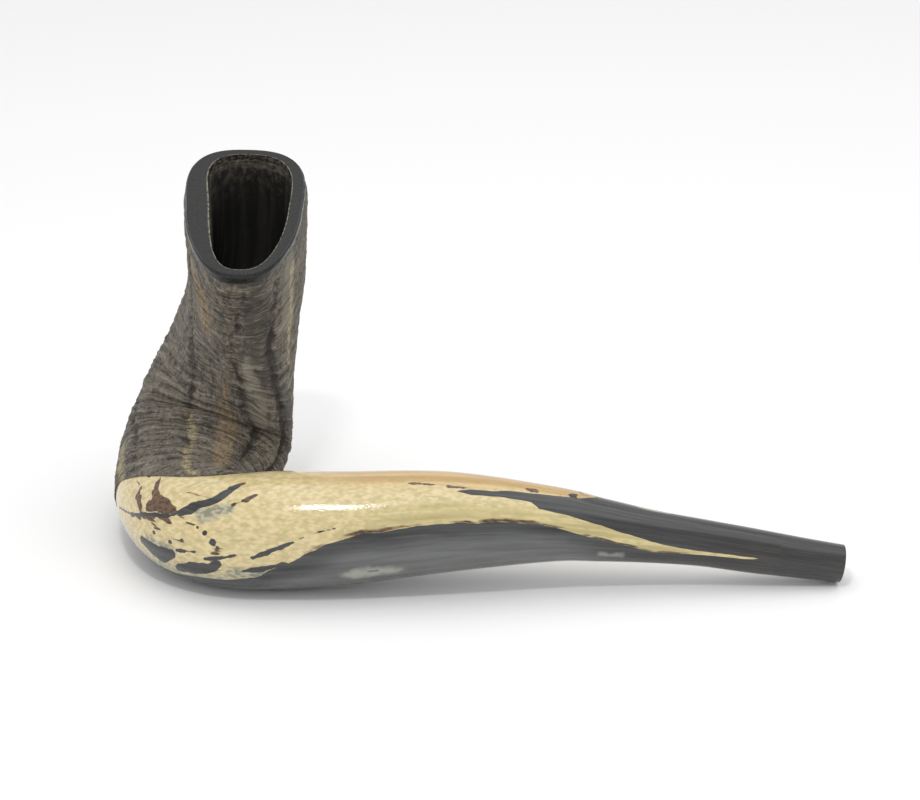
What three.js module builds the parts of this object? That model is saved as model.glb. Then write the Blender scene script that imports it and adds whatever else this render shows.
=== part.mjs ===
// A shofar made from one ram's horn. Millimetres, +Z up. The horn stands on its fold and on its mouth end:
// the bell opens upwards at -X, and the polished arm runs along +X to the mouthpiece.
import * as THREE from 'three';
import { ParametricGeometry } from 'three/addons/geometries/ParametricGeometry.js';

// The horn from the bell to the mouth end, one row per station:
// at: the spine; out: the side that faces out of the curl; deep and wide: half the section along out and
// across it; keel: how far the section narrows to a keel on its inner side; box: 1 is an ellipse, less is
// squarer; wall: the wall's thickness.
const stations = [
  { at: [-104.6, 18.8, 151.4], out: [0, 0.9, 0.45], deep: 41.5, wide: 26.5, keel: 0.25, box: 0.75, wall: 4 },
  { at: [-105.6, 32.1, 124.4], out: [0, 0.97, 0.2], deep: 41, wide: 26, keel: 0.25, box: 0.8, wall: 5 },
  { at: [-107.6, 39.1, 95.9], out: [-0.1, 1, 0], deep: 41, wide: 26, keel: 0.25, box: 0.8, wall: 5 },
  { at: [-113.6, 40.1, 66.9], out: [-0.47, 0.87, -0.1], deep: 43, wide: 26.5, keel: 0.22, box: 0.85, wall: 5 },
  { at: [-121.6, 34.1, 41.9], out: [-0.8, 0.55, -0.15], deep: 42, wide: 26.5, keel: 0.2, box: 0.85, wall: 5.5 },
  { at: [-128.6, 17.1, 27.9], out: [-0.95, 0.3, 0], deep: 38.5, wide: 26, keel: 0.15, box: 0.9, wall: 6 },
  { at: [-132.6, -3.9, 24.3], out: [-0.96, 0.1, 0.2], deep: 33.5, wide: 24, keel: 0.1, box: 0.95, wall: 6 },
  { at: [-131.1, -23.9, 23.8], out: [-0.93, -0.15, 0.2], deep: 31, wide: 23.5, keel: 0.1, box: 0.95, wall: 6.5 },
  { at: [-122.1, -41.9, 24.6], out: [-0.8, -0.6, 0.1], deep: 29, wide: 24.5, keel: 0.1, box: 0.95, wall: 6.5 },
  { at: [-106.1, -53.4, 25.5], out: [-0.5, -0.85, 0], deep: 27, wide: 25.5, keel: 0.05, box: 1, wall: 7 },
  { at: [-86.1, -56.9, 26.8], out: [-0.1, -1, 0], deep: 25.5, wide: 26.5, keel: 0, box: 1, wall: 7.5 },
  { at: [-56.1, -57.9, 28.4], out: [0, -1, 0], deep: 24.5, wide: 25.4, keel: 0, box: 1, wall: 9 },
  { at: [-11.1, -56.9, 30.9], out: [0, -1, 0], deep: 22, wide: 22.5, keel: 0, box: 1, wall: 12 },
  { at: [33.9, -55.9, 29.4], out: [0, -1, 0], deep: 17, wide: 17, keel: 0, box: 1, wall: 12 },
  { at: [56.9, -55.9, 26.4], out: [0, -1, 0], deep: 14.2, wide: 14.2, keel: 0, box: 1, wall: 9.2 },
  { at: [79.4, -55.9, 23.2], out: [0, -1, 0], deep: 11.9, wide: 11.9, keel: 0, box: 1, wall: 6.9 },
  { at: [101.9, -55.4, 19.9], out: [0, -1, 0], deep: 10.6, wide: 10.6, keel: 0, box: 1, wall: 5.6 },
  { at: [123.9, -54.9, 15.9], out: [0, -1, 0], deep: 10.1, wide: 10.1, keel: 0, box: 1, wall: 5.1 },
  { at: [146.9, -54.4, 11.9], out: [0, -1, 0], deep: 9.2, wide: 9.2, keel: 0, box: 1, wall: 4.2 },
  { at: [164.9, -53.9, 8.9], out: [0, -1, 0], deep: 8.6, wide: 8.6, keel: 0, box: 1, wall: 2.4 },
];

// A cut across the horn: the station it lies at, how far it swings round the horn (further along on the inner
// side of the curl, less far outside), where the swing turns, and half the gap it leaves, all in stations.
const straight = (station) => ({ station, swing: 0, phase: 0, gap: 0.01 });
const BELL_END = { station: 0, swing: 0, phase: 0, gap: 0 };
const MOUTH_END = { station: 19, swing: 0, phase: 0, gap: 0 };
const RIM_LINE = straight(0.14);
const CURL_START = straight(4.2);
const POLISH_LINE = { station: 8.1, swing: 1.6, phase: 0.4, gap: 0.025 };
const BEND_END = straight(11);
const BODY_END = straight(13.2);
const NECK_END = straight(17.5);

// The stretches of the horn, each between two cuts, with its rings, its colour and its roughness.
const stretches = [
  { name: 'bell_rim', from: BELL_END, to: RIM_LINE, rings: 2, color: 0x2c2f2d, roughness: 0.3 },
  { name: 'natural_horn', from: RIM_LINE, to: CURL_START, rings: 14, color: 0x6b6052, roughness: 0.85 },
  { name: 'natural_curl', from: CURL_START, to: POLISH_LINE, rings: 12, color: 0x63594c, roughness: 0.85 },
  { name: 'horn_bend', from: POLISH_LINE, to: BEND_END, rings: 10, color: 0xd8c28c, roughness: 0.25 },
  { name: 'horn_body', from: BEND_END, to: BODY_END, rings: 8, color: 0xcdb67a, roughness: 0.2 },
  { name: 'horn_neck', from: BODY_END, to: NECK_END, rings: 10, color: 0x3a3a3c, roughness: 0.2 },
  { name: 'mouthpiece', from: NECK_END, to: MOUTH_END, rings: 4, color: 0x151515, roughness: 0.25 },
];
const SIDES = 32;

// How much thicker the wall is on its left side at the first stations, as a part of its thickness; its right
// side is thickened by a part of that.
const LIP = [1.75, 1.2, 0.5];
const LIP_RIGHT = 0.3;

// The four curves share one parameter, which runs from 0 at the first station to 1 at the last.
const through = (rows) => {
  const points = rows.map((row) => new THREE.Vector3(...row));
  return new THREE.CatmullRomCurve3(points, false, 'catmullrom');
};
const spine = through(stations.map((s) => s.at));
const outward = through(stations.map((s) => s.out));
const sizes = through(stations.map((s) => [s.deep, s.wide, s.wall]));
const shapes = through(stations.map((s, i) => [s.keel, s.box, LIP[i] ?? 0]));

// A point of the section at a station number, a part of a turn round from the outer side, and a depth in the wall.
function sectionPoint(station, turn, depth, target) {
  const t = station / (stations.length - 1);
  const tangent = spine.getTangent(t);
  const side = new THREE.Vector3().crossVectors(tangent, outward.getPoint(t)).normalize();
  const out = new THREE.Vector3().crossVectors(side, tangent);
  const size = sizes.getPoint(t);
  const shape = shapes.getPoint(t);
  const angle = turn * 2 * Math.PI;
  const c = Math.cos(angle);
  const s = Math.sin(angle);
  const power = shape.y;
  const alongOut = Math.sign(c) * Math.abs(c) ** power;
  const alongSide = Math.sign(s) * Math.abs(s) ** power * (1 + shape.x * c);
  const inset = depth * size.z * (1 + shape.z * s * s * (s < 0 ? 1 : LIP_RIGHT));
  return target.copy(spine.getPoint(t))
    .addScaledVector(out, alongOut * (size.x - inset))
    .addScaledVector(side, alongSide * (size.y - inset));
}

// The station of a cut at a part of a turn round the horn, on one side of its gap.
function cutAt(cut, turn, side) {
  return cut.station - cut.swing * Math.cos(turn * 2 * Math.PI - cut.phase) + side * cut.gap;
}

// One stretch of the horn's wall as a closed ring: out along the outer wall and back along the inner wall.
function wallGeometry({ from, to, rings }) {
  const stacks = 2 * (rings + 1);
  return new ParametricGeometry((u, v, target) => {
    const k = Math.round(v * stacks) % stacks;
    const inner = k > rings;
    const part = (inner ? 2 * rings + 1 - k : k) / rings;
    const first = cutAt(from, u, 1);
    const last = cutAt(to, u, -1);
    sectionPoint(first + (last - first) * part, u, inner ? 1 : 0, target);
  }, SIDES, stacks);
}

const shofar = new THREE.Group();
for (const stretch of stretches) {
  const material = new THREE.MeshStandardMaterial({
    color: stretch.color, roughness: stretch.roughness, metalness: 0,
  });
  const mesh = new THREE.Mesh(wallGeometry(stretch), material);
  mesh.name = stretch.name;
  shofar.add(mesh);
}

export default shofar;
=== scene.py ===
"""A ram's horn shofar: one curled horn, rough from the bell to the fold and polished on to the mouth end."""
import math

import bpy
import numpy as np
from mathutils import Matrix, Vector


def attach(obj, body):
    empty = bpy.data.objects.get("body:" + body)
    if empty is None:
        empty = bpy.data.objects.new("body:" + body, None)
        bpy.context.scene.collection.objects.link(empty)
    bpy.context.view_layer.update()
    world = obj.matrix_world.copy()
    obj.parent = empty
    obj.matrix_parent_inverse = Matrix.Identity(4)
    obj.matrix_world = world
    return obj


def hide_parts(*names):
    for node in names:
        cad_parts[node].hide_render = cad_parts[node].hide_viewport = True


MM = 0.001
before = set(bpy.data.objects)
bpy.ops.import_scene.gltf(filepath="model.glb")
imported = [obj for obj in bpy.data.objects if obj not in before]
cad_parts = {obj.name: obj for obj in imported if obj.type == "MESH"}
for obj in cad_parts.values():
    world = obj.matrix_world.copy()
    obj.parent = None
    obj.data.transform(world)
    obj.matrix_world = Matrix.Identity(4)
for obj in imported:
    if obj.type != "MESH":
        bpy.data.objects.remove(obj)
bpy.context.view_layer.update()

# ---------------------------------------------------------------- the horn's curve, in mm, as in the CAD
# at: the spine; out: the side that faces out of the curl; deep, wide: half the section; keel, box: its
# shape; wall: the wall's thickness; lip: how much thicker its left side is, as a part of that.
STATIONS = [
    # at x, y, z          out x, y, z          deep  wide  keel  box   wall  lip
    (-104.6, 18.8, 151.4, 0, 0.9, 0.45, 41.5, 26.5, 0.25, 0.75, 4, 1.75),
    (-105.6, 32.1, 124.4, 0, 0.97, 0.2, 41, 26, 0.25, 0.8, 5, 1.2),
    (-107.6, 39.1, 95.9, -0.1, 1, 0, 41, 26, 0.25, 0.8, 5, 0.5),
    (-113.6, 40.1, 66.9, -0.47, 0.87, -0.1, 43, 26.5, 0.22, 0.85, 5, 0),
    (-121.6, 34.1, 41.9, -0.8, 0.55, -0.15, 42, 26.5, 0.2, 0.85, 5.5, 0),
    (-128.6, 17.1, 27.9, -0.95, 0.3, 0, 38.5, 26, 0.15, 0.9, 6, 0),
    (-132.6, -3.9, 24.3, -0.96, 0.1, 0.2, 33.5, 24, 0.1, 0.95, 6, 0),
    (-131.1, -23.9, 23.8, -0.93, -0.15, 0.2, 31, 23.5, 0.1, 0.95, 6.5, 0),
    (-122.1, -41.9, 24.6, -0.8, -0.6, 0.1, 29, 24.5, 0.1, 0.95, 6.5, 0),
    (-106.1, -53.4, 25.5, -0.5, -0.85, 0, 27, 25.5, 0.05, 1, 7, 0),
    (-86.1, -56.9, 26.8, -0.1, -1, 0, 25.5, 26.5, 0, 1, 7.5, 0),
    (-56.1, -57.9, 28.4, 0, -1, 0, 24.5, 25.4, 0, 1, 9, 0),
    (-11.1, -56.9, 30.9, 0, -1, 0, 22, 22.5, 0, 1, 12, 0),
    (33.9, -55.9, 29.4, 0, -1, 0, 17, 17, 0, 1, 12, 0),
    (56.9, -55.9, 26.4, 0, -1, 0, 14.2, 14.2, 0, 1, 9.2, 0),
    (79.4, -55.9, 23.2, 0, -1, 0, 11.9, 11.9, 0, 1, 6.9, 0),
    (101.9, -55.4, 19.9, 0, -1, 0, 10.6, 10.6, 0, 1, 5.6, 0),
    (123.9, -54.9, 15.9, 0, -1, 0, 10.1, 10.1, 0, 1, 5.1, 0),
    (146.9, -54.4, 11.9, 0, -1, 0, 9.2, 9.2, 0, 1, 4.2, 0),
    (164.9, -53.9, 8.9, 0, -1, 0, 8.6, 8.6, 0, 1, 2.4, 0),
]
# the wall's right side is thickened by this part of what its left side is
LIP_RIGHT = 0.3
LAST = len(STATIONS) - 1
ROWS = np.array(STATIONS, float)
ROWS = np.vstack([2 * ROWS[0] - ROWS[1], ROWS, 2 * ROWS[-1] - ROWS[-2]])


def along(station):
    """The interpolated station row: a Catmull-Rom curve through the stations."""
    station = np.clip(np.asarray(station, float), 0, LAST)
    i = np.minimum(np.floor(station).astype(int), LAST - 1)
    w = (station - i)[..., None]
    a, b, c, d = ROWS[i], ROWS[i + 1], ROWS[i + 2], ROWS[i + 3]
    ta, tb = (c - a) / 2, (d - b) / 2
    return b + ta * w + (3 * (c - b) - 2 * ta - tb) * w**2 + (2 * (b - c) + ta + tb) * w**3


def unit(v):
    return v / np.linalg.norm(v, axis=-1, keepdims=True)


def surface(station, turn, depth=0.0, lift=0.0):
    """Points of the wall, in mm. Depth 0 is its outer face and 1 its inner face.
    Lift moves either face outwards."""
    row = along(station)
    tangent = unit(along(np.asarray(station) + 0.002)[..., :3] - along(np.asarray(station) - 0.002)[..., :3])
    side = unit(np.cross(tangent, row[..., 3:6]))
    out = np.cross(side, tangent)
    angle = np.asarray(turn) * 2 * np.pi
    c, s = np.cos(angle), np.sin(angle)
    box = row[..., 9]
    inset = depth * row[..., 10] * (1 + row[..., 11] * s**2 * np.where(s < 0, 1, LIP_RIGHT)) - lift
    along_out = np.sign(c) * np.abs(c) ** box * (row[..., 6] - inset)
    along_side = np.sign(s) * np.abs(s) ** box * (1 + row[..., 8] * c) * (row[..., 7] - inset)
    return row[..., :3] + out * along_out[..., None] + side * along_side[..., None]


SPINE_AT = np.linspace(0, LAST, 2000)
SPINE = along(SPINE_AT)[:, :3]
ARC_AT = np.concatenate([[0], np.cumsum(np.linalg.norm(np.diff(SPINE, axis=0), axis=1))])


def arc_length(station):
    """Millimetres along the spine at a station."""
    return np.interp(station, SPINE_AT, ARC_AT)


# ---------------------------------------------------------------- seeded noise
def noise(p, seed=0):
    """Smooth value noise from -1 to 1 at points p, one unit of p to a cell."""
    cell = np.floor(p).astype(np.int64)
    f = p - cell
    f = f * f * (3 - 2 * f)

    def lattice(dx, dy, dz):
        h = (cell[:, 0] + dx) * 73856093 ^ (cell[:, 1] + dy) * 19349663 ^ (cell[:, 2] + dz) * 83492791
        h = (h ^ seed * 2654435761) & 0xFFFFFFFF
        h = (h ^ (h >> 15)) * 2246822519 & 0xFFFFFFFF
        h = (h ^ (h >> 13)) * 3266489917 & 0xFFFFFFFF
        return ((h ^ (h >> 16)) & 0xFFFFFF) / 0x7FFFFF - 1

    def along_x(dy, dz):
        return lattice(0, dy, dz) * (1 - f[:, 0]) + lattice(1, dy, dz) * f[:, 0]

    x0 = [[along_x(dy, dz) for dz in (0, 1)] for dy in (0, 1)]
    y0 = [x0[0][dz] * (1 - f[:, 1]) + x0[1][dz] * f[:, 1] for dz in (0, 1)]
    return y0[0] * (1 - f[:, 2]) + y0[1] * f[:, 2]


def fractal(p, seed=0, octaves=3):
    total, size = 0, 1
    for k in range(octaves):
        total = total + noise(p * 2**k, seed + 17 * k) * size
        size /= 2
    return total / (2 - 2 * size)


def smooth(x, low, high):
    """0 below low and 1 above high, with a smooth step between."""
    t = np.clip((x - low) / (high - low), 0, 1)
    return t * t * (3 - 2 * t)


def near(points, path, wobble=0.0, seed=0, grain=5.0):
    """How far points lie outside a stroke, in mm: negative is inside. Path is (station, turn, half width
    in mm) rows. Wobble, in mm, makes the stroke's edge wander."""
    path = np.array(path, float)
    path[:, 1] = np.unwrap(path[:, 1] * 2 * np.pi) / (2 * np.pi)
    if len(path) > 1:
        count = 1 + 24 * (len(path) - 1)
        t = np.linspace(0, len(path) - 1, count)
        path = np.stack([np.interp(t, np.arange(len(path)), path[:, k]) for k in range(3)], 1)
    centres = surface(path[:, 0], path[:, 1])
    reach = path[:, 2].max() + 3 * wobble + 6
    found = np.full(len(points), 99.0)
    inside = np.all((points > centres.min(0) - reach) & (points < centres.max(0) + reach), axis=1)
    if inside.any():
        p = points[inside]
        best = np.full(len(p), 99.0)
        for centre, half in zip(centres, path[:, 2]):
            best = np.minimum(best, np.linalg.norm(p - centre, axis=1) - half)
        if wobble:
            best = best + wobble * fractal(p / grain, seed)
        found[inside] = best
    return found


# ---------------------------------------------------------------- rough horn: ridges, creases and patches
# Creases that run along the rough horn: (station, turn, half width in mm) rows.
CREASES = [
    [(0.4, -0.30, 1.2), (1.6, -0.285, 1.6), (3.0, -0.28, 1.8),
     (4.6, -0.25, 1.6), (6.5, -0.235, 1.4), (8.0, -0.21, 1.0)],
    [(0.4, 0.49, 1.0), (1.5, -0.49, 1.6), (3.1, -0.42, 1.8),
     (4.5, -0.39, 1.6), (6.0, -0.355, 1.4), (8.6, -0.30, 1.0)],
    [(0.4, 0.38, 1.0), (1.6, 0.40, 1.6), (3.0, 0.465, 1.8), (4.8, -0.48, 1.6), (6.5, -0.42, 1.2)],
    [(0.4, 0.14, 1.2), (3.0, 0.16, 1.8), (5.0, 0.17, 1.8), (6.8, 0.18, 1.2)],
    [(0.4, -0.13, 1.2), (3.0, -0.12, 1.8), (5.0, -0.11, 1.8), (6.6, -0.10, 1.2)],
]


def rough(points, station, turn):
    """How far the rough horn's outer face stands proud, its creases, and its growth along it in mm."""
    warp = 3.4 * fractal(points / 23, 3) + 1.5 * fractal(points / 7, 4)
    slant = 6.0 * np.sin(2 * np.pi * (turn + 0.13)) + 3.0 * np.sin(4 * np.pi * (turn - 0.02))
    growth = arc_length(station) + warp + slant
    big = np.cos(2 * np.pi * (growth + 2.5 * np.sin(growth / 11)) / 6.3)
    fine = np.cos(2 * np.pi * (growth + 1.1 * fractal(points / 4, 8)) / 2.3)
    strength = np.clip(0.35 + 0.9 * fractal(points / 15, 5), 0, 1)
    fine_strength = np.clip(0.5 + 0.8 * fractal(points / 9, 9), 0, 1)
    left = smooth(-np.sin(2 * np.pi * turn), 0.2, 0.9) * smooth(station, 2.0, 3.5)
    lift = (0.42 + 0.5 * left) * big * strength + 0.26 * fine * fine_strength
    lift = lift + 0.26 * fractal(points / 2.4, 6) + 0.60 * fractal(points / 9, 7)
    crease = np.zeros(len(points))
    for k, path in enumerate(CREASES):
        d = near(points, path, 1.8, 30 + k, 5.0)
        crease = np.maximum(crease, 1 - smooth(d, -1.6, 2.0))
    crease *= np.clip(0.7 + 0.8 * fractal(points / 8, 27), 0, 1)
    lift -= 1.5 * crease
    return lift, crease, growth


def rough_masks(points, station, turn):
    """The rough horn's patches, each made of strokes with their wobble in mm."""
    patches = {
        "tan": [([(0.3, -0.30, 3), (0.9, -0.36, 6), (1.6, -0.37, 5)], 3.0),
                ([(2.9, -0.38, 1), (3.5, -0.345, 3.5), (5.5, -0.31, 4.5), (8.2, -0.30, 3)], 1.8)],
        "cream": [([(4.4, -0.252, 1.0), (6.0, -0.243, 1.6), (8.2, -0.21, 1.8)], 1.4),
                  ([(5.6, -0.055, 1.5), (6.2, -0.045, 2.6), (6.8, -0.04, 2.2)], 1.5),
                  ([(0.5, 0.31, 2), (1.5, 0.315, 2.5), (2.4, 0.35, 1)], 1.8)],
        "pale": [([(2.2, 0.497, 3), (3.0, -0.465, 4.5), (3.8, -0.43, 2)], 1.8),
                 ([(0.3, 0.32, 5), (1.6, 0.33, 6)], 2.0)],
        "black": [([(0.2, 0.45, 4), (0.9, 0.44, 7), (1.7, 0.44, 6), (2.6, 0.48, 2)], 2.5),
                  ([(2.0, 0.44, 5), (3.2, 0.42, 5), (4.6, 0.47, 3)], 2.5)],
    }
    masks = {}
    for name, strokes in patches.items():
        value = np.zeros(len(points))
        for k, (path, wobble) in enumerate(strokes):
            d = near(points, path, wobble, 50 + 7 * k + len(name), 5.0)
            value = np.maximum(value, 1 - smooth(d, -1.2, 1.6))
        masks[name] = value
    return masks


# ---------------------------------------------------------------- polished horn: bands, streaks and spots
def curve(station, *rows):
    """A value that changes along the horn, from (station, value) rows."""
    at, value = zip(*rows)
    return np.interp(station, at, value)


# Strokes of dark and brown on the fold: (station, turn, half width in mm) rows.
DARK_STROKES = [
    [(7.0, 0.02, 0.6), (7.6, -0.01, 0.7), (8.0, -0.045, 0.8), (8.35, -0.067, 0.8), (8.55, -0.095, 1.2)],
    [(8.5, -0.085, 1.4), (8.63, -0.105, 2.6), (8.78, -0.125, 1.6), (8.95, -0.14, 1.6),
     (9.1, -0.165, 2.2), (9.3, -0.20, 1.6)],
    [(8.83, -0.062, 0.9)], [(8.95, -0.051, 1.1)], [(9.08, -0.031, 1.3)],
    [(9.14, -0.018, 0.9)], [(8.59, -0.018, 1.0)], [(8.4, 0.0, 1.0)], [(8.1, -0.005, 0.8)],
    [(7.85, 0.035, 2.4), (8.18, 0.05, 4.4), (8.4, 0.03, 2.4)],
    [(8.45, 0.075, 2.2), (8.7, 0.06, 3.6), (9.0, 0.047, 2.6), (9.12, 0.03, 1.6)],
    [(8.5, 0.015, 0.8), (8.8, 0.005, 0.6)],
    [(9.65, 0.008, 0.8), (9.95, -0.008, 1.1), (10.34, -0.032, 0.7)],
    [(10.44, -0.042, 0.3), (10.68, -0.057, 0.4), (10.9, -0.066, 0.2)],
    [(9.45, 0.05, 0.8), (9.8, 0.045, 1.8), (10.2, 0.03, 0.8)],
    [(8.95, 0.02, 0.7), (9.3, 0.005, 0.9), (9.4, 0.0, 0.4)],
]
BROWN_STROKES = [
    [(7.5, -0.085, 0.6), (7.55, -0.06, 1.8), (7.75, -0.04, 1.6)],
    [(7.72, -0.14, 0.8), (7.85, -0.11, 1.4), (8.0, -0.085, 2.8), (8.35, -0.085, 2.4)],
    [(7.9, -0.06, 2.0), (8.25, -0.078, 2.4)],
    [(9.31, -0.134, 0.5), (9.55, -0.152, 0.9), (9.76, -0.168, 0.4)],
    [(12.72, -0.215, 0.8), (12.8, -0.21, 1.2)],
    [(11.65, -0.20, 0.5), (11.9, -0.194, 0.6)], [(12.0, -0.19, 0.5), (12.2, -0.186, 0.8)],
    [(9.2, -0.19, 1.6), (9.4, -0.21, 1.0)],
]
SILVER = [
    [(8.7, -0.115, 2.0), (8.9, -0.10, 3.5), (9.25, -0.125, 2.5)],
    [(11.2, 0.07, 3.0), (11.4, 0.075, 2.2)],
    [(8.0, 0.02, 2.0), (8.4, 0.02, 2.5)],
    [(9.3, 0.06, 3.0), (9.9, 0.07, 3.0)],
]


def polished_masks(points, station, turn):
    grain = np.stack([arc_length(station) / 26, points[:, 1] / 5, points[:, 2] / 5], 1)
    streak = fractal(grain, 11, 4)
    drift = np.stack([arc_length(station) / 16, points[:, 1] / 9, points[:, 2] / 9], 1)
    wander = 0.012 * fractal(drift, 12) + 0.004 * streak
    t = turn + wander
    low = curve(station, (6, 0.16), (7, 0.13), (8, 0.115), (9, 0.092), (9.7, 0.075), (10.55, 0.0),
                (11, -0.034), (11.3, -0.047), (11.66, -0.056), (12.2, -0.066), (12.5, -0.071),
                (12.83, -0.069), (13.3, -0.043), (13.9, -0.019), (14.5, 0.008), (14.95, 0.03),
                (15.5, 0.022), (16.2, 0.008), (16.97, -0.008), (17.2, -0.03), (17.35, -0.2), (17.5, -0.6))
    band = smooth(t, low - 0.003, low + 0.005) * (1 - smooth(t, 0.36, 0.40))
    band_edge = np.exp(-(((t - low + 0.004) / 0.010) ** 2))
    # the dark top beyond the body, under which the cream streak runs out to a thin line
    top_low = curve(station, (12.0, -0.17), (12.2, -0.16), (12.47, -0.163), (12.75, -0.151),
                    (12.83, -0.127), (13.3, -0.11), (13.9, -0.093), (14.5, -0.058), (14.95, -0.028),
                    (15.5, -0.014), (15.8, -0.012), (16.2, -0.014), (17.0, -0.022), (17.2, -0.012),
                    (17.35, 0.1), (17.5, 0.5))
    top_high = curve(station, (12.0, -0.16), (12.2, -0.185), (12.47, -0.188), (12.75, -0.1935),
                     (13.0, -0.20), (13.4, -0.215), (13.7, -0.25), (13.9, -0.31), (14.2, -0.5))
    top = (1 - smooth(t, top_low - 0.004, top_low + 0.004)) * smooth(t, top_high - 0.008, top_high + 0.006)
    sliver = np.exp(-(((t + 0.275 + 0.01 * np.sin(station * 5)) / 0.010) ** 2)) * smooth(station, 14.3, 14.7)
    sliver *= (1 - smooth(station, 16.0, 17.2)) * smooth(streak, 0.0, 0.3)
    top = np.clip(top - 0.75 * sliver, 0, 1)
    dark = np.maximum(band, top)
    mottle = smooth(fractal(points / 4.5, 14, 3), -0.05, 0.35) * smooth(station, 12.7, 13.3)
    mottle *= 1 - smooth(t, -0.20, -0.16)
    dark = np.maximum(dark, 0.75 * mottle)
    for k, path in enumerate(DARK_STROKES):
        d = near(points, path, 0.9, 80 + k, 3.0)
        dark = np.maximum(dark, 1 - smooth(d, -0.35, 0.45))
    brown = 0.9 * band_edge * smooth(station, 10.0, 11.0) * (1 - smooth(station, 16, 17))
    brown *= smooth(streak, -0.5, 0.2)
    # small specks and flames scattered over the fold
    flame = np.stack([(arc_length(station) + 90 * turn) / 7, turn * 60, points[:, 0] / 40], 1)
    fold = smooth(station, 6.8, 7.4) * (1 - smooth(station, 8.9, 9.6))
    fold *= smooth(t, -0.17, -0.12) * (1 - smooth(t, 0.10, 0.16))
    specks = smooth(fractal(flame, 16, 3), 0.30, 0.46) * fold
    brown = np.maximum(brown, specks)
    for k, path in enumerate(BROWN_STROKES):
        d = near(points, path, 1.3, 120 + k, 3.0)
        brown = np.maximum(brown, 1 - smooth(d, -0.6, 0.8))
    silver = np.zeros(len(points))
    for k, path in enumerate(SILVER):
        d = near(points, path, 1.5, 150 + k, 4.0)
        silver = np.maximum(silver, 1 - smooth(d, -1.5, 1.8))
    lower = smooth(t, 0.02, 0.10) * (1 - smooth(station, 10.4, 11.2))
    silver = np.maximum(silver, 0.8 * lower)
    ochre = (1 - smooth(t, -0.235, -0.165)) * smooth(station, 10.0, 11.4) * (1 - smooth(station, 13.6, 14.6))
    olive = smooth(t, -0.15, -0.09) * smooth(station, 10.8, 12.0) * (1 - smooth(station, 15, 17))
    neck = smooth(station, 14.0, 16.6)
    low_part = smooth(t, low + 0.015, low + 0.09) * (1 - smooth(station, 13.2, 15.0))
    cloud = near(points, [(11.0, 0.09, 2.0), (11.25, 0.085, 3.0), (11.5, 0.09, 1.5)], 2.0, 171, 4.0)
    eye = near(points, [(11.22, 0.08, 0.5), (11.3, 0.08, 0.5)], 0.3, 172, 2.0)
    wisp = near(points, [(14.0, 0.07, 1.0), (14.4, 0.07, 1.2)], 1.2, 173, 3.0)
    milk = (1 - smooth(cloud, -2.0, 2.5)) * smooth(eye, -0.4, 0.6)
    milk = np.maximum(milk, 0.7 * (1 - smooth(wisp, -1.5, 1.5)))
    return {"dark": dark, "neck": neck, "low": low_part, "milk": milk, "brown": brown,
            "silver": silver, "ochre": ochre, "olive": olive}


# ---------------------------------------------------------------- the pieces' meshes
# where the stretches meet, in stations; the polish line swings round the horn
RIM_STATION, CURL_STATION, BEND_END, BODY_END, NECK_END = 0.14, 4.2, 11, 13.2, 17.5
POLISH_STATION, POLISH_SWING, POLISH_PHASE = 8.1, 1.6, 0.4


def straight(station):
    return lambda turn: np.full_like(turn, station)


def polish_line(turn):
    return POLISH_STATION - POLISH_SWING * np.cos(turn * 2 * np.pi - POLISH_PHASE)


FINE = 1.0
SKIN_RADIUS = 25


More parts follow.
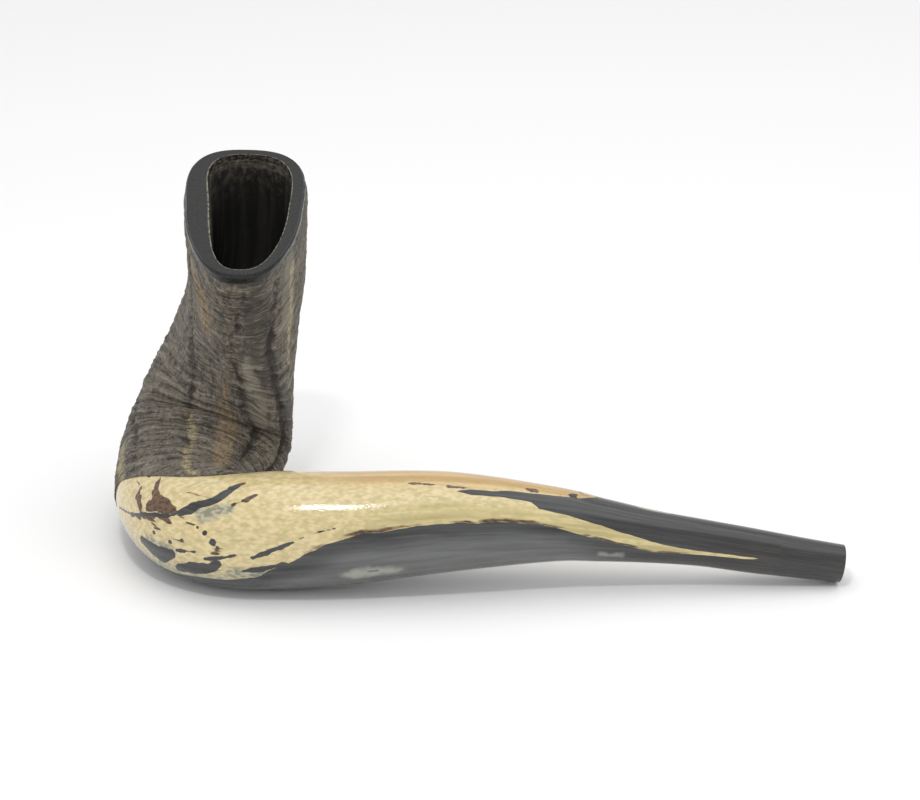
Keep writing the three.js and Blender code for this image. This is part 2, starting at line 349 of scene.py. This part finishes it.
def shell(name, first, last, rings, sides, lifted, masks, wall_rings):
    """A closed stretch of the horn's wall: outer face, inner face and both cut ends, as one mesh.
    lifted(points, station, turn) gives how far the outer face stands proud, its creases and its growth."""
    rings, sides = int(rings * FINE), int(sides * FINE)
    turn = np.arange(sides) / sides
    start, end = first(turn), last(turn)
    station = start + (end - start) * np.linspace(0, 1, rings + 1)[:, None]
    turns = np.broadcast_to(turn, station.shape)
    outer = surface(station, turns)
    flat_s, flat_t = station.ravel(), turns.ravel()
    signed = (flat_t + 0.5) % 1 - 0.5
    lift = np.zeros(len(flat_s))
    crease = np.zeros(len(flat_s))
    growth = arc_length(flat_s)
    if lifted:
        lift, crease, growth = lifted(outer.reshape(-1, 3), flat_s, flat_t)
        outer = surface(flat_s, flat_t, 0, lift).reshape(outer.shape)
        outer[..., 2] = np.maximum(outer[..., 2], 0.0)
    inner_station = start + (end - start) * np.linspace(1, 0, wall_rings + 1)[:, None]
    inner_turns = np.broadcast_to(turn, inner_station.shape)
    inner = surface(inner_station, inner_turns, 1)
    hollow = 0.35 * fractal(inner.reshape(-1, 3) / 9, 21).reshape(inner_station.shape)
    hollow[[0, -1]] = 0
    inner = surface(inner_station, inner_turns, 1, hollow)
    points = np.concatenate([outer.reshape(-1, 3), inner.reshape(-1, 3)])
    count = (rings + 1) + (wall_rings + 1)
    index = np.arange(count * sides).reshape(count, sides)
    a, b = index, np.roll(index, -1, axis=1)
    c, d = np.roll(b, -1, axis=0), np.roll(a, -1, axis=0)
    quads = np.stack([a, d, c, b], -1).reshape(-1, 4)
    mesh = bpy.data.meshes.new(name)
    mesh.vertices.add(len(points))
    mesh.vertices.foreach_set("co", (points * MM).astype(np.float32).ravel())
    mesh.loops.add(quads.size)
    mesh.loops.foreach_set("vertex_index", quads.ravel())
    mesh.polygons.add(len(quads))
    mesh.polygons.foreach_set("loop_start", np.arange(0, quads.size, 4))
    mesh.polygons.foreach_set("use_smooth", np.ones(len(quads), bool))
    mesh.update(calc_edges=True)
    values = {"lift": lift, "crease": crease}
    values.update(masks(surface(flat_s, flat_t), flat_s, signed) if masks else {})
    inside = np.concatenate([np.zeros(len(flat_s)), np.ones(inner_station.size)])
    inside[-sides:] = 0
    lip = np.zeros(len(points))
    lip[-sides:] = 1
    mesh.attributes.new("lip", "FLOAT", "POINT").data.foreach_set("value", lip.astype(np.float32))
    for key, value in values.items():
        layer = mesh.attributes.new(key, "FLOAT", "POINT")
        both = np.concatenate([value, np.zeros(inner_station.size)])
        layer.data.foreach_set("value", both.astype(np.float32))
    # skin: the growth along the horn and the way round it, which the colours and the grain follow
    grown = np.concatenate([growth, arc_length(inner_station.ravel())])
    around = np.concatenate([flat_t, inner_turns.ravel()]) * 2 * np.pi
    skin = np.stack([grown, SKIN_RADIUS * np.cos(around), SKIN_RADIUS * np.sin(around)], 1)
    layer = mesh.attributes.new("skin", "FLOAT_VECTOR", "POINT")
    layer.data.foreach_set("vector", skin.astype(np.float32).ravel())
    mesh.attributes.new("inside", "FLOAT", "POINT").data.foreach_set("value", inside.astype(np.float32))
    arc = np.concatenate([arc_length(flat_s), arc_length(inner_station.ravel())]) * MM
    mesh.attributes.new("along", "FLOAT", "POINT").data.foreach_set("value", arc.astype(np.float32))
    # the four rims, where a face meets a cut end, are sharp
    rims = np.zeros(count * sides, bool)
    for ring in (0, rings, rings + 1, count - 1):
        rims[index[ring]] = True
    ring_of = np.repeat(np.arange(count), sides)
    edges = np.zeros(len(mesh.edges) * 2, np.int32)
    mesh.edges.foreach_get("vertices", edges)
    edges = edges.reshape(-1, 2)
    sharp = rims[edges[:, 0]] & (ring_of[edges[:, 0]] == ring_of[edges[:, 1]])
    layer = mesh.attributes.new("sharp_edge", "BOOLEAN", "EDGE")
    layer.data.foreach_set("value", sharp)
    obj = bpy.data.objects.new(name, mesh)
    bpy.context.scene.collection.objects.link(obj)
    return obj


# ---------------------------------------------------------------- materials
class Graph:
    """Short calls for building a node material."""

    def __init__(self, name):
        self.material = bpy.data.materials.new(name)
        self.material.use_nodes = True
        self.nodes, self.links = self.material.node_tree.nodes, self.material.node_tree.links
        self.shader = self.nodes["Principled BSDF"]

    def add(self, kind, **inputs):
        node = self.nodes.new("ShaderNode" + kind)
        for key, value in inputs.items():
            self.put(node, key.replace("_", " "), value)
        return node

    def put(self, node, key, value):
        socket = node.inputs[key]
        if isinstance(value, bpy.types.NodeSocket):
            self.links.new(value, socket)
        else:
            socket.default_value = value

    def mask(self, name):
        node = self.nodes.new("ShaderNodeAttribute")
        node.attribute_name = name
        return node.outputs["Fac"]

    def math(self, operation, a, b=0.5, clamp=False):
        node = self.nodes.new("ShaderNodeMath")
        node.operation = operation
        node.use_clamp = clamp
        for k, value in enumerate((a, b)):
            self.put(node, k, value)
        return node.outputs[0]

    def noise(self, scale, detail=3.0, roughness=0.55, vector=None, distortion=0.0):
        node = self.add("TexNoise", Scale=scale, Detail=detail, Roughness=roughness, Distortion=distortion)
        if vector is not None:
            self.links.new(vector, node.inputs["Vector"])
        return node.outputs["Fac"]

    def spread(self, value, low, high, to_low=0.0, to_high=1.0):
        node = self.nodes.new("ShaderNodeMapRange")
        node.interpolation_type = "SMOOTHSTEP"
        keys = ("Value", "From Min", "From Max", "To Min", "To Max")
        for key, item in zip(keys, (value, low, high, to_low, to_high)):
            self.put(node, key, item)
        return node.outputs["Result"]

    def mix(self, fac, a, b, blend="MIX"):
        node = self.nodes.new("ShaderNodeMix")
        node.data_type, node.blend_type = "RGBA", blend
        self.put(node, 0, fac)
        self.put(node, 6, a if isinstance(a, bpy.types.NodeSocket) else (*a, 1))
        self.put(node, 7, b if isinstance(b, bpy.types.NodeSocket) else (*b, 1))
        return node.outputs[2]

    def skin(self, stretch):
        """The horn's own skin, in mm along it and round it, stretched."""
        read = self.nodes.new("ShaderNodeAttribute")
        read.attribute_name = "skin"
        node = self.nodes.new("ShaderNodeMapping")
        self.links.new(read.outputs["Vector"], node.inputs["Vector"])
        node.inputs["Scale"].default_value = stretch
        return node.outputs["Vector"]

    def bump(self, height, strength, distance):
        node = self.add("Bump", Strength=strength, Distance=distance)
        self.links.new(height, node.inputs["Height"])
        return node.outputs["Normal"]


def rgb(r, g, b):
    """A colour as the eye reads it, 0 to 255, made linear."""
    return tuple(((c / 255 + 0.055) / 1.055) ** 2.4 if c > 10 else c / 255 / 12.92 for c in (r, g, b))


def hollow_colour(g, outside):
    """The inside wall of the horn: painted dark as the bore's shade, with faint streaks along it and brown blotches
    near the bell, where light falls in.
    """
    blotch = g.noise(34, 3)
    streak = g.noise(1, 3, 0.55, g.skin((0.02, 0.35, 0.35)))
    # painted shade: the whole inside wall is near black
    colour = g.mix(g.spread(streak, 0.4, 0.65), rgb(38, 38, 36), rgb(58, 56, 52))
    # near the bell, where light falls in, brown-grey blotches break the painted shade
    near_bell = g.spread(g.mask("along"), 0.03, 0.004)
    brown = g.math("MULTIPLY", g.spread(blotch, 0.45, 0.62, 0, 0.9), near_bell)
    colour = g.mix(brown, colour, rgb(104, 96, 84))
    return g.mix(g.mask("inside"), outside, colour)


def rough_material():
    g = Graph("rough_horn")
    fibre = g.noise(520, 4, 0.6)
    blotch = g.noise(60, 4, 0.6)
    wide = g.noise(19, 3, 0.5)
    rings = g.noise(1, 4, 0.62, g.skin((0.75, 0.10, 0.10)))
    hair = g.noise(1, 3, 0.6, g.skin((2.2, 0.22, 0.22)))
    colour = g.mix(g.spread(blotch, 0.36, 0.64), rgb(72, 67, 60), rgb(122, 115, 103))
    colour = g.mix(g.spread(wide, 0.42, 0.66, 0, 0.8), colour, rgb(98, 90, 78))
    patch = g.noise(30, 5, 0.65)
    colour = g.mix(g.spread(patch, 0.50, 0.38, 0, 0.75), colour, rgb(44, 41, 37))
    colour = g.mix(g.spread(patch, 0.56, 0.70, 0, 0.7), colour, rgb(150, 145, 132))
    tan = g.mix(g.spread(blotch, 0.4, 0.6), rgb(120, 98, 70), rgb(160, 138, 104))
    colour = g.mix(g.math("MULTIPLY", g.mask("tan"), 0.8), colour, tan)
    colour = g.mix(g.math("MULTIPLY", g.mask("pale"), 0.8), colour, rgb(138, 133, 120))
    cream = g.mix(g.spread(blotch, 0.4, 0.6), rgb(150, 136, 98), rgb(196, 184, 148))
    colour = g.mix(g.math("MULTIPLY", g.mask("cream"), 0.8), colour, cream)
    colour = g.mix(g.math("MULTIPLY", g.mask("black"), 0.8), colour, rgb(56, 54, 50))
    # growth lines, darker in the ring grooves and lighter on their crests; painted highlight on the raised ridges
    # and painted shade in the grooves and creases
    colour = g.mix(g.spread(rings, 0.52, 0.36, 0, 0.75), colour, rgb(44, 40, 36))
    colour = g.mix(g.spread(rings, 0.54, 0.70, 0, 0.6), colour, rgb(160, 150, 132))
    colour = g.mix(g.spread(hair, 0.46, 0.32, 0, 0.5), colour, rgb(46, 42, 38))
    # painted highlight: the raised ridges are lightened
    colour = g.mix(g.spread(g.mask("lift"), 0.2, 1.2, 0, 0.35), colour, rgb(158, 149, 133))
    # painted shade: the sunken grooves are darkened
    colour = g.mix(g.spread(g.mask("lift"), -0.15, -1.2, 0, 0.7), colour, rgb(38, 34, 31))
    # painted shade: the creases are darkened
    colour = g.mix(g.spread(g.mask("crease"), 0.3, 1.0, 0, 0.75), colour, rgb(34, 30, 27))
    colour = g.mix(g.spread(fibre, 0.57, 0.72, 0, 0.4), colour, rgb(178, 170, 154))
    colour = g.mix(g.spread(fibre, 0.44, 0.30, 0, 0.45), colour, rgb(44, 40, 36))
    colour = hollow_colour(g, colour)
    g.put(g.shader, "Base Color", colour)
    g.put(g.shader, "Roughness", g.spread(fibre, 0.3, 0.7, 0.45, 0.8))
    g.put(g.shader, "Specular IOR Level", 0.4)
    coarse = g.math("ADD", g.math("MULTIPLY", rings, 2.4), g.math("MULTIPLY", hair, 1.2))
    outer_bump = g.math("ADD", coarse, g.math("ADD", g.noise(900, 4, 0.65), g.noise(260, 3, 0.6)))
    bump = g.math("MULTIPLY", outer_bump, g.math("SUBTRACT", 1.0, g.math("MULTIPLY", g.mask("inside"), 0.9)))
    g.put(g.shader, "Normal", g.bump(bump, 0.55, 0.0007))
    return g.material


def polished_material():
    g = Graph("polished_horn")
    cloud = g.noise(38, 1, 0.4)
    flow = g.noise(1, 4, 0.55, g.skin((0.02, 0.30, 0.30)))
    silk = g.noise(1, 3, 0.6, g.skin((0.04, 0.8, 0.8)))
    edge = g.noise(1, 4, 0.6, g.skin((0.16, 0.5, 0.5)))
    colour = g.mix(g.spread(cloud, 0.35, 0.66), rgb(200, 181, 132), rgb(216, 199, 154))
    ochre = g.mix(g.spread(flow, 0.35, 0.65), rgb(178, 138, 78), rgb(206, 172, 112))
    colour = g.mix(g.math("MULTIPLY", g.mask("ochre"), 0.9), colour, ochre)
    olive = g.mix(g.spread(flow, 0.35, 0.65), rgb(168, 154, 100), rgb(206, 192, 140))
    colour = g.mix(g.math("MULTIPLY", g.mask("olive"), 0.85), colour, olive)
    colour = g.mix(g.spread(silk, 0.56, 0.76, 0, 0.18), colour, rgb(228, 216, 180))
    colour = g.mix(g.spread(silk, 0.44, 0.28, 0, 0.2), colour, rgb(168, 142, 92))
    colour = g.mix(g.spread(g.noise(22, 1.5, 0.5), 0.50, 0.68, 0, 0.6), colour, rgb(176, 164, 116))
    grey = g.mix(g.spread(cloud, 0.4, 0.6), rgb(116, 117, 104), rgb(168, 166, 146))
    colour = g.mix(g.math("MULTIPLY", g.mask("silver"), 0.85), colour, grey)
    torn = g.math("MULTIPLY", g.math("SUBTRACT", edge, 0.5), 1.1)
    brown = g.mix(g.spread(cloud, 0.4, 0.6), rgb(66, 48, 34), rgb(104, 74, 46))
    colour = g.mix(g.spread(g.math("ADD", g.mask("brown"), torn), 0.3, 0.75), colour, brown)
    deep = g.mix(g.spread(flow, 0.36, 0.68), rgb(34, 34, 36), rgb(62, 63, 64))
    grey_part = g.math("MULTIPLY", g.mask("low"), g.spread(flow, 0.3, 0.7, 0.6, 1.0))
    deep = g.mix(grey_part, deep, rgb(104, 106, 104))
    deep = g.mix(g.spread(silk, 0.55, 0.75, 0, 0.22), deep, rgb(112, 110, 104))
    deep = g.mix(g.math("MULTIPLY", g.mask("milk"), 0.8), deep, rgb(168, 168, 156))
    deep = g.mix(g.mask("neck"), deep, g.mix(g.spread(silk, 0.4, 0.7), rgb(34, 33, 33), rgb(60, 57, 55)))
    torn = g.math("MULTIPLY", g.math("SUBTRACT", edge, 0.5), 0.7)
    colour = g.mix(g.spread(g.math("ADD", g.mask("dark"), torn), 0.36, 0.64), colour, deep)
    colour = hollow_colour(g, colour)
    g.put(g.shader, "Base Color", colour)
    g.put(g.shader, "Roughness", g.spread(g.noise(70, 3), 0.3, 0.7, 0.10, 0.16))
    g.put(g.shader, "Specular IOR Level", 0.5)
    g.put(g.shader, "Coat Weight", 0.3)
    g.put(g.shader, "Coat Roughness", 0.06)
    g.put(g.shader, "Subsurface Weight", 0.06)
    g.put(g.shader, "Subsurface Radius", (0.004, 0.002, 0.001))
    height = g.math("ADD", g.noise(60, 1.5), g.math("MULTIPLY", silk, 0.25))
    g.put(g.shader, "Normal", g.bump(height, 0.10, 0.0006))
    return g.material


def rim_material():
    g = Graph("rim_horn")
    cloud = g.noise(46, 3, 0.5)
    colour = g.mix(g.spread(cloud, 0.35, 0.65), rgb(22, 24, 23), rgb(36, 38, 35))
    # painted highlight: a pale line along the rim's inner edge
    lip_highlight = g.math("MULTIPLY", g.spread(g.mask("lip"), 0.90, 0.98), g.spread(cloud, 0.38, 0.55, 0.1, 0.8))
    colour = g.mix(lip_highlight, colour, rgb(150, 146, 128))
    colour = hollow_colour(g, colour)
    g.put(g.shader, "Base Color", colour)
    g.put(g.shader, "Roughness", g.spread(cloud, 0.3, 0.7, 0.22, 0.34))
    g.put(g.shader, "Specular IOR Level", 0.3)
    g.put(g.shader, "Normal", g.bump(g.noise(120, 3), 0.10, 0.0006))
    return g.material


def mouth_material():
    g = Graph("black_horn")
    silk = g.noise(1, 3, 0.6, g.skin((0.05, 1.3, 1.3)))
    colour = g.mix(g.spread(silk, 0.4, 0.7), rgb(34, 33, 33), rgb(60, 57, 55))
    # painted shade: the inside of the bore is darker than the outside
    colour = g.mix(g.mask("inside"), colour, rgb(26, 24, 22))
    g.put(g.shader, "Base Color", colour)
    g.put(g.shader, "Roughness", g.spread(g.noise(90, 3), 0.3, 0.7, 0.14, 0.26))
    g.put(g.shader, "Coat Weight", 0.3)
    g.put(g.shader, "Coat Roughness", 0.08)
    height = g.math("ADD", g.noise(120, 3), g.math("MULTIPLY", silk, 0.4))
    g.put(g.shader, "Normal", g.bump(height, 0.10, 0.0006))
    return g.material


ROUGH, POLISHED, RIM, BLACK = rough_material(), polished_material(), rim_material(), mouth_material()


def rim_lift(points, station, turn):
    lift = 0.3 * fractal(points / 12, 41) + 0.15 * fractal(points / 3, 42)
    fade = smooth(arc_length(station), 0.0, 1.5)
    return lift * fade - 0.8 * (1 - smooth(arc_length(station), 0, 1.6)), np.zeros(len(points)), arc_length(station)


def rough_lift(points, station, turn):
    lift, crease, growth = rough(points, station, turn)
    end = polish_line(turn)
    fade = 1 - 0.55 * smooth(station, end - 0.35, end)
    start = smooth(arc_length(station), arc_length(RIM_STATION), arc_length(RIM_STATION) + 4)
    return np.clip(lift * fade * (0.15 + 0.85 * start) + 0.5 * start, -1.6, 2.0), crease * fade, growth


def piece(obj, node, material):
    obj.data.materials.append(material)
    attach(obj, "root")
    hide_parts(node)
    return obj


# one row per stretch: name, node, material, rings, sides, lifted, masks and rings on the inner wall
STRETCHES = [
    ("rim_skin", "bell_rim", RIM, 26, 440, rim_lift, None, 8),
    ("rough_skin", "natural_horn", ROUGH, 190, 440, rough_lift, rough_masks, 24),
    ("curl_skin", "natural_curl", ROUGH, 190, 440, rough_lift, rough_masks, 24),
    ("bend_skin", "horn_bend", POLISHED, 170, 400, None, polished_masks, 24),
    ("body_skin", "horn_body", POLISHED, 190, 400, None, polished_masks, 24),
    ("neck_skin", "horn_neck", POLISHED, 220, 320, None, polished_masks, 24),
    ("mouth_skin", "mouthpiece", BLACK, 60, 240, None, None, 24),
]
cuts = [straight(station) for station in (0, RIM_STATION, CURL_STATION)]
cuts += [polish_line] + [straight(station) for station in (BEND_END, BODY_END, NECK_END, LAST)]
for (name, node, material, *build), first, last in zip(STRETCHES, cuts, cuts[1:]):
    piece(shell(name, first, last, *build), node, material)

# ---------------------------------------------------------------- floor, lights and camera
FLOOR = 4.0
corners = [(-FLOOR, -FLOOR, 0), (FLOOR, -FLOOR, 0), (FLOOR, FLOOR, 0), (-FLOOR, FLOOR, 0)]
floor_mesh = bpy.data.meshes.new("floor")
floor_mesh.from_pydata(corners, [], [(0, 1, 2, 3)])
floor = bpy.data.objects.new("floor", floor_mesh)
bpy.context.scene.collection.objects.link(floor)
floor_paint = Graph("floor_paint")
floor_paint.put(floor_paint.shader, "Base Color", (0.92, 0.92, 0.92, 1))
floor_paint.put(floor_paint.shader, "Roughness", 0.7)
floor_mesh.materials.append(floor_paint.material)

world = bpy.data.worlds.new("light_tent")
bpy.context.scene.world = world
world.use_nodes = True
world.node_tree.nodes["Background"].inputs["Color"].default_value = (1, 1, 1, 1)
world.node_tree.nodes["Background"].inputs["Strength"].default_value = 0.85


LIT_POINT = Vector((0, 0, 0.06))


def softbox(name, at, size, power):
    light = bpy.data.lights.new(name, "AREA")
    light.shape = "RECTANGLE"
    light.size, light.size_y = size
    light.energy = power
    obj = bpy.data.objects.new(name, light)
    bpy.context.scene.collection.objects.link(obj)
    obj.location = at
    obj.rotation_mode = "QUATERNION"
    obj.rotation_quaternion = (LIT_POINT - Vector(at)).to_track_quat("-Z", "Y")


softbox("key", (-0.14, -0.55, 1.00), (0.12, 0.06), 2.4)
softbox("top", (0.2, 0.1, 1.5), (1.6, 1.6), 6)

camera_data = bpy.data.cameras.new("camera")
camera = bpy.data.objects.new("camera", camera_data)
bpy.context.scene.collection.objects.link(camera)
bpy.context.scene.camera = camera
ELEVATION, DISTANCE, LENS = math.radians(22), 1.15, 100.0
AIM = Vector((-0.0061, -0.0239, 0.0759))
toward = Vector((0, math.cos(ELEVATION), -math.sin(ELEVATION)))
camera.location = AIM - toward * DISTANCE
camera.rotation_mode = "QUATERNION"
camera.rotation_quaternion = toward.to_track_quat("-Z", "Y")
camera_data.lens = LENS
camera_data.sensor_width = 36
camera_data.clip_start, camera_data.clip_end = 0.01, 20

bpy.context.scene.view_settings.view_transform = "Standard"
